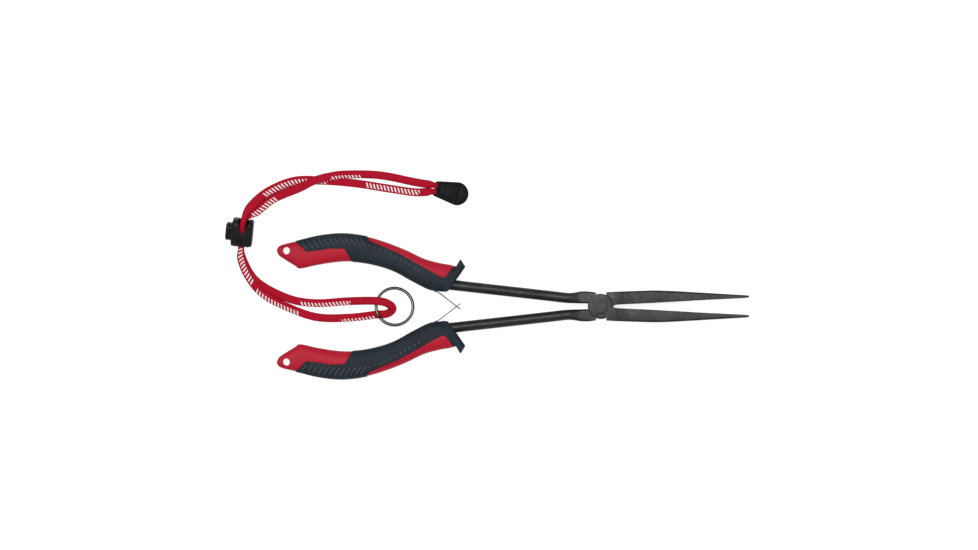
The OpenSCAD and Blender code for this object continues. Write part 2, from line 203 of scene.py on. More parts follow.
def finished(obj, material, angle):
    """Gives a piece its material, and smooth shading across edges duller than an angle."""
    cleaned(obj, CLEAN_REACH / 10)
    obj.data.materials.clear()
    obj.data.materials.append(material)
    obj.data.shade_smooth()
    obj.data.set_sharp_from_angle(angle=math.radians(angle))
    return obj


def moved(obj, matrix):
    """Applies a placing matrix, whose lengths are in millimetres, to a mesh."""
    placed = matrix.copy()
    placed.translation = placed.translation * MM
    obj.data.transform(placed)
    return obj


def copied(obj, name):
    return new_object(name, obj.data.copy())


# The lower half is the upper one turned over about the pliers' long axis
TURN_OVER = Matrix.Translation((0, 0, GRIP_T)) @ Matrix.Rotation(math.pi, 4, "X")


def as_lower(obj, name):
    return moved(copied(obj, name), TURN_OVER)


def show(obj, body, slot, *nodes):
    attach(obj, body)
    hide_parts(*nodes)
    return obj


# ---------------------------------------------------------------- materials


class Nodes:
    """A short way to write one material's nodes."""

    def __init__(self, name):
        self.material = bpy.data.materials.new(name)
        self.material.use_nodes = True
        self.tree = self.material.node_tree
        self.shader = self.tree.nodes["Principled BSDF"]

    def add(self, kind, **values):
        node = self.tree.nodes.new(kind)
        for key, value in values.items():
            if hasattr(node, key):
                setattr(node, key, value)
            else:
                node.inputs[key.replace("_", " ")].default_value = value
        return node

    def link(self, source, target):
        self.tree.links.new(source, target)

    def set(self, **values):
        for key, value in values.items():
            self.shader.inputs[key.replace("_", " ")].default_value = value

    def place(self):
        return self.add("ShaderNodeTexCoord").outputs["Object"]

    def noise(self, scale, detail=3.0, rough=0.55, vector=None):
        node = self.add("ShaderNodeTexNoise", Scale=scale, Detail=detail, Roughness=rough)
        self.link(vector or self.place(), node.inputs["Vector"])
        return node.outputs["Fac"]

    def ramp(self, source, low, high, stops=(0.3, 0.7)):
        node = self.add("ShaderNodeMapRange")
        for name, value in zip(("From Min", "From Max", "To Min", "To Max"), (*stops, low, high)):
            node.inputs[name].default_value = value
        self.link(source, node.inputs["Value"])
        return node.outputs["Result"]

    def math(self, operation, a, b=None):
        node = self.add("ShaderNodeMath", operation=operation)
        for socket, value in zip(node.inputs, (a, b)):
            if value is None:
                continue
            if isinstance(value, (int, float)):
                socket.default_value = value
            else:
                self.link(value, socket)
        return node.outputs["Value"]

    def colours(self, factor, first, second):
        node = self.add("ShaderNodeMix", data_type="RGBA")
        self.link(factor, node.inputs["Factor"])
        for socket, value in zip((node.inputs[6], node.inputs[7]), (first, second)):
            if isinstance(value, tuple):
                socket.default_value = (*value, 1)
            else:
                self.link(value, socket)
        return node.outputs[2]

    def paint(self, colour):
        if isinstance(colour, tuple):
            self.shader.inputs["Base Color"].default_value = (*colour, 1)
        else:
            self.link(colour, self.shader.inputs["Base Color"])

    def bump(self, height, strength, distance):
        node = self.add("ShaderNodeBump", Strength=strength, Distance=distance)
        self.link(height, node.inputs["Height"])
        self.link(node.outputs["Normal"], self.shader.inputs["Normal"])


def lever_steel():
    m = Nodes("lever_steel")
    broad = m.noise(90.0, 4.0)
    speckle = m.noise(620.0, 3.0)
    fine = m.noise(1500.0, 2.0)
    mottle = m.math("ADD", m.math("MULTIPLY", broad, 0.45), m.math("MULTIPLY", speckle, 0.55))
    m.paint(m.colours(m.ramp(mottle, 0, 1, (0.36, 0.62)), (0.015, 0.016, 0.0165), (0.038, 0.040, 0.040)))
    m.link(m.ramp(fine, 0.40, 0.56), m.shader.inputs["Roughness"])
    m.set(Metallic=0.75)
    m.bump(fine, 0.35, 0.00005)
    return m.material


def surface(name, colours, rough, grain, tint=None, bump=None, **shader):
    """A material whose colour drifts between two, with a fine grain in its roughness and relief.

    The noises grain and tint are (scale, detail), rough is (low, high) and bump (strength, distance).
    """
    m = Nodes(name)
    fine = m.noise(*grain)
    drift = m.noise(*tint) if tint else fine
    m.paint(m.colours(m.ramp(drift, 0, 1), *colours))
    if rough:
        m.link(m.ramp(fine, *rough), m.shader.inputs["Roughness"])
    m.set(**shader)
    if bump:
        m.bump(fine, *bump)
    return m.material


def rivet_steel():
    return surface("rivet_steel", ((0.018, 0.019, 0.0195), (0.030, 0.032, 0.032)), (0.40, 0.56),
                   (1600.0, 2.0), (140.0, 3.0), (0.3, 0.00004), Metallic=0.75)


def worn_steel():
    return surface("worn_steel", ((0.09, 0.09, 0.09), (0.15, 0.15, 0.15)), (0.30, 0.42),
                   (2200.0, 2.0), bump=(0.3, 0.00003), Metallic=0.9)


def spring_steel():
    return surface("spring_steel", ((0.07, 0.07, 0.072), (0.11, 0.11, 0.112)), (0.28, 0.40),
                   (1800.0, 2.0), Metallic=0.9)


def nickel():
    return surface("nickel", ((0.046, 0.042, 0.038), (0.078, 0.071, 0.064)), (0.20, 0.30),
                   (1200.0, 3.0), bump=(0.15, 0.00003), Metallic=1.0)


def core_plastic():
    return surface("core_plastic", ((0.37, 0.009, 0.026), (0.43, 0.013, 0.032)), (0.38, 0.5),
                   (2600.0, 2.0), (45.0, 2.0), (0.25, 0.00006), Specular_IOR_Level=0.07)


def sleeve_rubber():
    return surface("sleeve_rubber", ((0.012, 0.018, 0.024), (0.019, 0.027, 0.034)), (0.52, 0.68),
                   (3200.0, 2.0), (60.0, 3.0), (0.4, 0.00008), Specular_IOR_Level=0.1)


# Rubber of the ribs and studs, painted lighter than the sleeve's rubber: a painted highlight where light
# catches the raised edges of the ribs
def rib_rubber_painted_highlight():
    return surface("rib_rubber_painted_highlight", ((0.042, 0.051, 0.058), (0.064, 0.075, 0.084)), None,
                   (3200.0, 2.0), Roughness=0.6, Specular_IOR_Level=0.2)


def black_plastic(name, specular):
    return surface(name, ((0.006, 0.0065, 0.007), (0.012, 0.0125, 0.013)), (0.36, 0.50),
                   (2400.0, 2.0), (200.0, 2.0), (0.3, 0.00005), Specular_IOR_Level=specular)


# The braid: length of one crossing, and crossings round the cord. The ticks: pitch along the cord,
# share of it that is inked, lean in millimetres a turn, and half their reach in turns.
BRAID_PITCH, BRAID_TURNS = 0.9, 14
TICK_PITCH = 2.1
TICK_SHARE = 0.42
TICK_LEAN = 7.0
TICK_HALF = 0.105
BLANK = -5.0


def cord_weave():
    """Tubular braid with ticks. The UV map cord runs from the cord's end, and print from the start
    of each stretch of ticks, with BLANK where there are none."""
    m = Nodes("cord_weave")

    def uv_map(name):
        """The two numbers of a UV map: millimetres along, and turns around."""
        split = m.add("ShaderNodeSeparateXYZ")
        m.link(m.add("ShaderNodeUVMap", uv_map=name).outputs["UV"], split.inputs["Vector"])
        return split.outputs["X"], split.outputs["Y"]

    along, around = uv_map("cord")
    strand = m.math("MULTIPLY", along, 2 * math.pi / BRAID_PITCH)
    turn = m.math("MULTIPLY", around, 2 * math.pi * BRAID_TURNS)
    left = m.math("SINE", m.math("ADD", strand, turn))
    right = m.math("SINE", m.math("SUBTRACT", strand, turn))
    weave = m.math("MULTIPLY", left, right)
    # Ticks: rows of slanted strokes, all alike
    along, around = uv_map("print")
    side = m.math("ABSOLUTE", around)
    leaning = m.math("SUBTRACT", along, m.math("MULTIPLY", around, TICK_LEAN))
    place = m.math("SUBTRACT", m.math("FRACT", m.math("DIVIDE", leaning, TICK_PITCH)), 0.5)
    stroke = m.math("LESS_THAN", m.math("ABSOLUTE", place), TICK_SHARE / 2)
    band = m.math("LESS_THAN", side, TICK_HALF)
    printed = m.math("GREATER_THAN", along, 0.0)
    ink = m.math("MULTIPLY", m.math("MULTIPLY", stroke, band), printed)
    red = m.colours(m.ramp(weave, 0, 1, (-0.6, 0.6)), (0.33, 0.003, 0.016), (0.45, 0.006, 0.026))
    m.paint(m.colours(ink, red, (0.80, 0.75, 0.76)))
    m.set(Roughness=0.8, Specular_IOR_Level=0.1)
    m.bump(weave, 0.5, 0.00012)
    return m.material


STEEL = lever_steel()
RIVET = rivet_steel()
WORN = worn_steel()
SPRING = spring_steel()
NICKEL = nickel()
RED = core_plastic()
RUBBER = sleeve_rubber()
RIB_PAINTED_HIGHLIGHT = rib_rubber_painted_highlight()
BLACK = black_plastic("black_plastic", 0.14)
END_BLACK = black_plastic("cord_end_plastic", 0.03)
WEAVE = cord_weave()

# ---------------------------------------------------------------- the cord

CORD_ROUTE = [
    (-40.2, 70.5, 3.1), (-46.2, 71.9, 3.1), (-58, 73.8, 1.9), (-79, 77.9, 1.7),
    (-99, 78.4, 2.3), (-109, 77.1, 4.7), (-118, 74.6, 5.2), (-126, 70.8, 3.8),
    (-142, 64.2, 1.9), (-151.5, 56.8, 3.8), (-159.4, 50.7, 7.4), (-161.3, 36.7, 2.75),
    (-160.6, 28, 1.7), (-152.2, 14.7, 1.75), (-134.2, 4.9, 1.7), (-118, 1.9, 1.7),
    (-100, 2.9, 2), (-89.5, 3.3, 4.9), (-80.8, 3.2, 7.6), (-74.6, 1.9, 6.9),
    (-71.4, -1.2, 4.6), (-74.6, -4.3, 2.4), (-81.5, -5, 1.75), (-98, -6.8, 1.7),
    (-117, -6.4, 1.7), (-135.2, 0, 1.95), (-148.8, 7.6, 4), (-157.2, 18, 5),
    (-161.3, 28, 4.9), (-161.4, 35.8, 5.5), (-159.8, 50, 10.1), (-156.4, 58, 8.6),
    (-146, 67.8, 2.6), (-130, 74.4, 1.75), (-112, 74.6, 1.7), (-93, 73, 1.7),
    (-75, 70.2, 1.7), (-58, 67.8, 1.9), (-47, 68.2, 3.1), (-41.1, 66.9, 3.1),
]
CORD_W, CORD_T = 4.8, 3.2
PINCHED_W, PINCHED_T = 3.4, 2.7
LOCK_AT = np.array([-160.5, 43.8, 6.6])
END_AT = np.array([-33.3, 66.9])
END_L = 13.7
CORD_SIDES = 24
ROUTE_STEPS = 10
# Stretches where two strands press side by side and lie wider: first and last place in CORD_ROUTE
PRESSED = [(7.2, 9.1), (31.3, 33.4)]
PRESSED_MORE, PRESSED_FADE = 0.5, 0.6
# Stretches of ticks: first and last place in CORD_ROUTE, and the turn round the cord they sit at
PRINTS = [(3.5, 5.0, 0.11), (7.9, 9.5, 0.18), (14.5, 16.3, 0.35), (22.0, 23.2, 0.10),
          (24.5, 26.3, 0.15), (26.6, 28.9, 0.25), (31.8, 34.1, 0.31), (35.3, 37.2, 0.26)]
# How far the lock and the cord end pinch the cord, and over what length it then fills out
LOCK_PINCH, LOCK_FADE = 9.5, 6
END_PINCH, END_FADE = 0.5, 3.5


def freedom(p):
    """0 where the lock or the cord end pinches the cord, 1 where it is free."""
    from_lock = (np.linalg.norm(p - LOCK_AT) - LOCK_PINCH) / LOCK_FADE
    from_end = (np.linalg.norm(p[:2] - END_AT) - END_L - END_PINCH) / END_FADE
    t = min(1.0, max(0.0, min(from_lock, from_end)))
    return t * t * (3 - 2 * t)


def pressed(place):
    """1 inside the stretches of PRESSED, fading to 0 past their ends."""
    inside = max(min(place - start, end - place) for start, end in PRESSED)
    t = float(np.clip(1 + inside / PRESSED_FADE, 0, 1))
    return t * t * (3 - 2 * t)


def map_cord(mesh, length):
    """Writes the cord's two UV maps, from the length run at each ring of points."""
    weave = mesh.uv_layers.new(name="cord")
    ticks = mesh.uv_layers.new(name="print")
    for poly in mesh.polygons:
        ks = [v % CORD_SIDES for v in poly.vertices]
        rows = [v // CORD_SIDES for v in poly.vertices]
        wraps = max(ks) - min(ks) > CORD_SIDES / 2
        middle = (min(rows) + max(rows)) / 2 / ROUTE_STEPS
        printed = [(start, at) for start, end, at in PRINTS if start < middle < end]
        for loop, row, k in zip(poly.loop_indices, rows, ks):
            turn = (k + CORD_SIDES if wraps and k < CORD_SIDES / 2 else k) / CORD_SIDES
            weave.data[loop].uv = (length[row], turn)
            ticks.data[loop].uv = (BLANK, 0)
            for start, at in printed:
                begin = length[round(start * ROUTE_STEPS)]
                ticks.data[loop].uv = (length[row] - begin, turn - at)


def make_cord():
    path = smooth_path(CORD_ROUTE, ROUTE_STEPS)
    way = np.gradient(path, axis=0)
    length = np.r_[0, np.cumsum(np.linalg.norm(np.diff(path, axis=0), axis=1))]
    rings = []
    for i, (p, d) in enumerate(zip(path, way)):
        d = unit(d)
        side = unit(np.cross((0, 0, 1), d))
        up = np.cross(d, side)
        f = freedom(p)
        w = PINCHED_W + (CORD_W - PINCHED_W) * f + PRESSED_MORE * pressed(i / ROUTE_STEPS)
        t = PINCHED_T + (CORD_T - PINCHED_T) * f
        rings.append([p + side * w / 2 * math.cos(a) + up * t / 2 * math.sin(a)
                      for a in np.arange(CORD_SIDES) * 2 * math.pi / CORD_SIDES])
    obj = loft("lanyard_cord_braid", rings)
    map_cord(obj.data, length)
    finished(obj, WEAVE, 50)
    show(obj, "lanyard", "cord_weave", "lanyard_cord")
    return obj, path, float(length[-1])


cord, cord_path, cord_length = make_cord()

# ---------------------------------------------------------------- levers


def corner_ring(x, y0, y1, half, r0, r1, steps=4):
    """A rounded rectangle across X, with its own corner radius on each side of Y."""
    r0, r1 = (min(r, half - 0.02, (y1 - y0) / 2 - 0.02) for r in (r0, r1))
    corners = [(y1 - r1, half - r1, r1, 0), (y0 + r0, half - r0, r0, 90),
               (y0 + r0, -half + r0, r0, 180), (y1 - r1, -half + r1, r1, 270)]
    ring = []
    for cy, cz, r, start in corners:
        for k in range(steps + 1):
            a = math.radians(start + 90 * k / steps)
            ring.append((x, cy + r * math.cos(a), MID_Z + cz + r * math.sin(a)))
    return ring


def along(x, table):
    """A value read off (place, value) pairs, with straight lines between them."""
    xs, values = zip(*table)
    i = int(np.clip(np.searchsorted(xs, x) - 1, 0, len(xs) - 2))
    t = float(np.clip((x - xs[i]) / (xs[i + 1] - xs[i]), 0, 1))
    return values[i] + (values[i + 1] - values[i]) * t


EASE_REACH = 1.6


def eased(x, table):
    """The same value averaged over a short reach, which rounds the table's corners."""
    return float(np.mean([along(x + EASE_REACH * k / 3, table) for k in range(-3, 4)]))


# The lap disc of one half, and the room it leaves for the other half's
LAP_R, LAP_CLEAR_R = 7.5, 7.65
LAP_LOW, LAP_TOP = 7.05, 12.5
# The jaw. Places are from the pivot along X, and sizes are from the middle line outwards
TIP = 88.0
TEETH_FROM, TOOTH_PITCH, TOOTH_DEPTH = 54.0, 1.25, 0.25
JAW_OUT = [(3.5, 8.4), (10, 8.75), (22, 9.2), (32, 9.5), (42, 9.2), (TIP - 1, 6.6), (TIP, 6.4)]
JAW_IN = [(3.5, 0.5), (7.6, 0.5), (9.6, 1.05), (30, 2.0), (54, 3.32), (TIP, 4.95)]
JAW_HALF = [(3.5, 5.5), (9, 5.5), (12, 5.2), (16, 4.8), (TIP - 1, 1.55), (TIP, 1.35)]
JAW_EDGE = [(3.5, 0.5), (10, 0.8), (30, 1.3), (60, 1.1), (TIP, 0.7)]
JAW_BITE_EDGE = 0.22


def make_jaw():
    plain = [3.5, 5, 6.5, 7.6, 8.5, 9.4, 10.3, 12, 14, 16] + list(np.arange(19, 53, 3.0))
    teeth = int((TIP - 1 - TEETH_FROM) / TOOTH_PITCH)
    # Where the rings of points are, and how deep the teeth are cut there
    places = [(x, 0.0) for x in plain]
    for i in range(teeth):
        start = TEETH_FROM + i * TOOTH_PITCH
        places += [(start, 0.0), (start + 0.35, 0.0), (start + 0.7, TOOTH_DEPTH),
                   (start + 0.95, TOOTH_DEPTH)]
    places += [(TIP - 0.4, TOOTH_DEPTH), (TIP, TOOTH_DEPTH + 0.1)]
    rings = []
    for x, deep in places:
        out = along(x, JAW_OUT) - (0.12 if x == TIP else 0)
        ring = corner_ring(PIVOT_X + x, along(x, JAW_IN) + deep, out, along(x, JAW_HALF),
                           JAW_BITE_EDGE, along(x, JAW_EDGE))
        rings.append([(px, -py, pz) for px, py, pz in ring])
    return loft("jaw", rings)


RIVET_HOLE_R, SEAT_R, SEAT_DEPTH = 3.06, 4.45, 1.02
# The shaft's radius, and the line that its middle runs along away from the pivot
SHAFT_R = 3.1
SHAFT_X, SHAFT_Y, SHAFT_RISE, SHAFT_RUN = -17.0, 4.7, 8.7, 77.5
FLANGE_LOW = [(-28, 2.84), (-23, 2.22), (-19, 1.9), (-8, 1.7), (-2.9, 1.6)]
FLANGE_TOP = [(-28, 9.04), (-23, 8.42), (-19, 7.95), (-16.5, 8.1), (-14.5, 8.4), (-11, 9),
              (-6, 8.8), (-2.9, 8.2)]
FLANGE_HALF = [(-23, 3.1), (-20, 3.1), (-18, 3.5), (-13.5, 5.0), (-11, 5.5), (-2.9, 5.5)]
FLANGE_EDGE = [(-23, 3.1), (-20, 3.1), (-16, 2.3), (-11, 1.2), (-2.9, 0.7)]
GRIP_FRONT = -94.5


def make_shaft():
    rings = []
    for x in (GRIP_FRONT, -70, -50, -35, -28):
        y = SHAFT_Y + (SHAFT_X - x) * SHAFT_RISE / SHAFT_RUN
        rings.append(corner_ring(PIVOT_X + x, y - SHAFT_R, y + SHAFT_R, SHAFT_R, SHAFT_R, SHAFT_R, 6))
    for x in (*range(-26, -3), -2.9):
        low, top, half, edge = (eased(x, table) for table in
                                (FLANGE_LOW, FLANGE_TOP, FLANGE_HALF, FLANGE_EDGE))
        rings.append(corner_ring(PIVOT_X + x, low, top, half, edge, edge, 6))
    return loft("shaft", rings)


def disc(name, radius, low, high):
    return turned(name, [(radius, low), (radius, high)], (PIVOT_X, 0))


def make_lever():
    lap = turned("lap", [(LAP_R, LAP_LOW), (LAP_R, LAP_TOP - 0.3), (LAP_R - 0.1, LAP_TOP - 0.08),
                         (LAP_R - 0.3, LAP_TOP)], (PIVOT_X, 0))
    lever = cut(join(make_shaft(), make_jaw()), disc("room", LAP_CLEAR_R, -1, LAP_LOW))
    join(lever, lap)
    cut(lever, disc("hole", RIVET_HOLE_R, -1, GRIP_T),
        disc("seat", SEAT_R, LAP_TOP - SEAT_DEPTH, GRIP_T))
    lever.name = "upper_forged_lever"
    return lever


def make_levers():
    upper = make_lever()
    lower = as_lower(upper, "lower_forged_lever")
    for half, obj in (("upper", upper), ("lower", lower)):
        finished(obj, STEEL, 30)
        show(obj, half + "_half", "lever_steel", half + "_lever")


def make_rivet():
    """A rivet peened flush on both faces, with a fine seam round each head."""
    half = [(0.01, 12.47), (1.5, 12.48), (3.2, 12.49), (4.26, 12.49), (4.36, 12.45), (4.4, 12.36),
            (4.4, 11.6), (3.0, 11.6)]
    profile = half + [(r, GRIP_T - z) for r, z in reversed(half)]
    rivet = turned("peened_rivet", profile, (PIVOT_X, 0))
    finished(rivet, RIVET, 30)
    show(rivet, "pivot", "rivet_steel", "pivot_rivet")


make_levers()
make_rivet()

# ---------------------------------------------------------------- grips

# Rungs across the upper grip, from the tail to the guard:
# outer x, outer y, inner x, inner y, half thickness
GRIP_RUNGS = [
    (-139.9, 34, -139.8, 32, 4.1), (-139.1, 35.6, -138.8, 30, 4.4),
    (-137.4, 36.7, -136.8, 28.4, 4.5), (-134, 37.7, -133, 26, 4.6),
    (-130, 38.6, -129, 23.6, 4.8), (-126.5, 39.5, -126, 22.1, 5),
    (-115, 42.2, -115, 24.4, 6), (-102, 43.5, -102, 26.2, 6.8),
    (-89, 42.2, -92, 26, 7), (-76.5, 38.8, -82, 24.3, 7),
    (-64, 34, -71, 20.8, 7), (-52.5, 28.6, -59.5, 14.6, 7),
    (-43.5, 26.1, -50, 9.9, 6.8), (-35.5, 24.5, -43.5, 8.9, 6.5),
    (-31.2, 21.5, -39.5, 8.6, 6.2),
]
# Power of the superellipse across the grip, and the number of points round it
GRIP_SQUARE = 3.0
GRIP_SIDES = 48
RUNG_STEPS = 8
GRIP_PATH = smooth_path(GRIP_RUNGS, RUNG_STEPS)
TAIL_PLAN = [(-131.5, 41), (-122.3, 32.5), (-115, 33.3), (-108, 34.4), (-99.6, 34.2),
             (-93.2, 23), (-93.2, 10), (-150, 10), (-150, 41)]
STRIP_PLAN = [(-88.5, 46), (-85.2, 38.9), (-76.5, 35.2), (-68, 31.6), (-60, 27.2), (-51.6, 22.4),
              (-42.7, 17.4), (-40.2, 17.2), (-34.8, 24.1), (-34.8, 46)]
# The finger guard runs along the grip's front to a square end; its front edge is chamfered
GUARD_PLAN = [(-34.3, 22.7), (-31.1, 28.1), (-28.2, 23.5), (-33.2, 16.3), (-38.6, 8.9),
              (-41.6, 9.3), (-37.8, 17.5)]
GUARD_FRONT = (2, 3, 4)
GUARD_CHAMFER = np.array([-1.25, 0.9])
GUARD_HALF = 6.6
TAIL_HOLE, TAIL_HOLE_R = (-134.3, 33), 2.15
RED_INSET = 0.3
CORE_SHORT = 6
GROOVE_HALF, GROOVE_DEPTH = 0.3, 0.35


def squared(v):
    """A sine or cosine, pushed outwards towards a rounded square."""
    return math.copysign(abs(v) ** (2 / GRIP_SQUARE), v)


def grip_point(rung, degrees, inset):
    """A point on the grip: 0 degrees is the outer edge, 90 the top, 180 the inner edge."""
    outer, inner = np.array(rung[0:2]), np.array(rung[2:4])
    centre, half = (outer + inner) / 2, (outer - inner) / 2
    size = np.linalg.norm(half)
    inset = min(inset, size / 2.5)
    a = math.radians(degrees)
    flat = centre + half * (size - inset) / size * squared(math.cos(a))
    return np.array([*flat, MID_Z + (rung[4] - inset) * squared(math.sin(a))])


def grip_loft(name, inset, rungs=GRIP_PATH):
    return loft(name, [[grip_point(r, 360 * k / GRIP_SIDES, inset) for k in range(GRIP_SIDES)]
                       for r in rungs])


def through(name, plan):
    return prism(name, plan, -1, GRIP_T + 1)


def grip_hole():
    return turned("hole", [(TAIL_HOLE_R, -1), (TAIL_HOLE_R, GRIP_T + 1)], TAIL_HOLE, 40)


def outline_band(path, half):
    """The outline of a band of constant half width along an open path."""
    p = np.array(path, float)
    way = np.gradient(p, axis=0)
    side = [half * unit(np.array((-d[1], d[0]))) for d in way]
    left = [tuple(q + s) for q, s in zip(p, side)]
    right = [tuple(q - s) for q, s in zip(p, side)]
    return left + right[::-1]


def make_core():
    """The hard core: its face lies a little below the rubber, with a groove along the rubber's edge."""
    core = grip_loft("upper_core", RED_INSET, GRIP_PATH[:-CORE_SHORT])
    for plan in (TAIL_PLAN[:7], STRIP_PLAN[:9]):
        groove = through("groove", outline_band(plan, GROOVE_HALF))
        cut(groove, grip_loft("floor", RED_INSET + GROOVE_DEPTH))
        cut(core, groove)
    cut(core, grip_hole())
    return soften(core, 0.35, 2, 50)


SWEEP_SIDES = 6
SWEEP_UP = (0.31, 0.17, 0.94)
SWEEP_TAPER = (0.35, 0.8, 1.0)


def swept(path, radius):
    """Rings of a thin rounded bar along a path, tapered at both ends."""
    path = np.array(path)
    way = np.gradient(path, axis=0)
    rings = []
    for i, (p, d) in enumerate(zip(path, way)):
        d = unit(d)
        side = unit(np.cross(d, SWEEP_UP))
        up = np.cross(side, d)
        r = radius * SWEEP_TAPER[min(i, len(path) - 1 - i, 2)]
        rings.append([p + r * (side * math.cos(a) + up * math.sin(a))
                      for a in np.arange(SWEEP_SIDES) * 2 * math.pi / SWEEP_SIDES])
    return rings


RIB_COUNT = 12
RIB_START = np.array([-124.5, 39.6])
RIB_STEP = 3.13
RIB_RUN = np.array([3.7, -4.9])
RIB_BACK = 1.9
RIB_R = 0.4
RIB_BOW = 0.5 * np.array([-0.82, -0.57])
FIRST_RIB = 0.8


def grip_surface():
    """A lookup of the grip's height: place in plan and face (1 top, -1 underside) to a point."""
    whole = grip_loft("whole", 0)
    tree = BVHTree.FromObject(whole, bpy.context.evaluated_depsgraph_get())
    bpy.data.objects.remove(whole)

    def drop(x, y, face):
        start = Vector((x, y, MID_Z + face * 30)) * MM
        hit = tree.ray_cast(start, Vector((0, 0, -face)))[0]
        return np.array(hit) / MM
    return drop


def outer_edge(x):
    """Y of the grip's outer edge at a place along X."""
    edge = sorted((r[0], r[1]) for r in GRIP_RUNGS)
    return float(np.interp(x, *zip(*edge)))


def rib_path(i, face, drop):
    """A rib near the outer edge, leaning towards the jaws and curving as it goes in."""
    x = RIB_START[0] + RIB_STEP * i
    start = np.array([x, outer_edge(x) - RIB_BACK])
    run = RIB_RUN * (FIRST_RIB if i == 0 else 1.0)
    made = []
    for t in np.linspace(0, 1, 9):
        p = start + run * t + math.sin(math.pi * t) * RIB_BOW
        made.append(drop(p[0], p[1], face) - (0, 0, face * 0.1))
    return made


def joined(name, objects):
    """One object of several separate closed meshes."""
    bm = bmesh.new()
    for obj in objects:
        bm.from_mesh(obj.data)
        bpy.data.objects.remove(obj)
    mesh = bpy.data.meshes.new(name)
    bm.to_mesh(mesh)
    bm.free()
    return new_object(name, mesh)


DOTS = 11
DOT_LEAN = math.radians(-55)
DOT_PATH = [(-84.9, 35.8), (-78.3, 33.7), (-72.6, 31.2), (-66.5, 27.8), (-61.3, 24.7), (-55.8, 21.5)]


def make_dot(i, face, drop):
    """One of a row of studs: slanted streaks next to the ribs, round dots towards the guard."""
    t = i / (DOTS - 1)
    x, y = smooth_path(DOT_PATH, 2)[i]
    long, short = 0.95 - 0.25 * t, 0.3 + 0.35 * t
    rings = []
    for lift, share in ((-0.5, 1.0), (0.06, 1.0), (0.2, 0.75), (0.26, 0.3)):
        ring = []
        for a in np.arange(16) * math.pi / 8:
            u, v = long * share * math.cos(a), short * share * math.sin(a)
            px = x + u * math.cos(DOT_LEAN) - v * math.sin(DOT_LEAN)
            py = y + u * math.sin(DOT_LEAN) + v * math.cos(DOT_LEAN)
            ring.append(drop(px, py, face) + (0, 0, face * lift))
        rings.append(ring)
    return loft("dot", rings)


def make_sleeve():
    sleeve = grip_loft("upper_sleeve", 0)
    cut_back = [np.array(p) + (GUARD_CHAMFER if i in GUARD_FRONT else 0)
                for i, p in enumerate(GUARD_PLAN)]
    guard = loft("guard", [[(*p, MID_Z + z) for p in plan] for z, plan in (
        (-GUARD_HALF, cut_back), (-GUARD_HALF + 1.2, GUARD_PLAN),
        (GUARD_HALF - 1.2, GUARD_PLAN), (GUARD_HALF, cut_back))])
    join(sleeve, soften(guard, 0.3, 2, 20))
    cut(sleeve, through("tail", TAIL_PLAN), through("strip", STRIP_PLAN))
    return soften(sleeve, 0.3, 2, 45)


def make_tread():
    drop = grip_surface()
    parts = []
    for face in (1, -1):
        parts += [loft("rib", swept(rib_path(i, face, drop), RIB_R)) for i in range(RIB_COUNT)]
        parts += [make_dot(i, face, drop) for i in range(DOTS)]
    return joined("upper_tread", parts)


def make_grips():
    upper = (make_core(), make_sleeve(), make_tread())
    names = ("grip_core_moulding", "grip_rubber", "grip_tread")
    # The tread's ribs and studs take the lighter rubber, a painted highlight; the sleeve and the tread are
    # the same rubber
    looks = ((RED, "core_plastic"), (RUBBER, "sleeve_rubber"), (RIB_PAINTED_HIGHLIGHT, "sleeve_rubber"))
    for obj, name, (material, slot) in zip(upper, names, looks):
        obj.name = "upper_" + name
        other = as_lower(obj, "lower_" + name)
        for half, piece in (("upper", obj), ("lower", other)):
            finished(piece, material, 40)
            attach(piece, half + "_half")
            if name == "grip_core_moulding":
                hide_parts(half + "_grip_core")
            if name == "grip_rubber":
                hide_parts(half + "_grip_sleeve")


make_grips()

# ---------------------------------------------------------------- return spring

SPRING_PIN = np.array([-47.5, 11.0])
LEAF_CROSS = np.array([-33.4, 0.0])
LEAF_T, LEAF_W = 0.65, 6.0
LEAF_L = float(np.linalg.norm(LEAF_CROSS - SPRING_PIN))
LEAF_PAST = 2.6
LEAF_ANGLE = math.atan2(-SPRING_PIN[1], LEAF_CROSS[0] - SPRING_PIN[0])
EYE_R = 1.25
TONGUE_W, RAIL_W, RAIL_Z = 2.6, 1.3, 2.35


def strip(name, path, width):
    """A thin spring strip along a path in plan, with the given width in Z at each point."""
    path = np.array(path, float)
    way = np.gradient(path, axis=0)
    rings = []
    for (x, y), d, w in zip(path, way, width):
        s = LEAF_T / 2 * unit(np.array((-d[1], d[0])))
        r = min(0.12, w / 4)
        rings.append([(x + s[0], y + s[1], -w / 2 + r), (x + s[0], y + s[1], w / 2 - r),
                      (x + s[0] * 0.5, y + s[1] * 0.5, w / 2), (x - s[0] * 0.5, y - s[1] * 0.5, w / 2),
                      (x - s[0], y - s[1], w / 2 - r), (x - s[0], y - s[1], -w / 2 + r),
                      (x - s[0] * 0.5, y - s[1] * 0.5, -w / 2), (x + s[0] * 0.5, y + s[1] * 0.5, -w / 2)])
    return loft(name, rings)


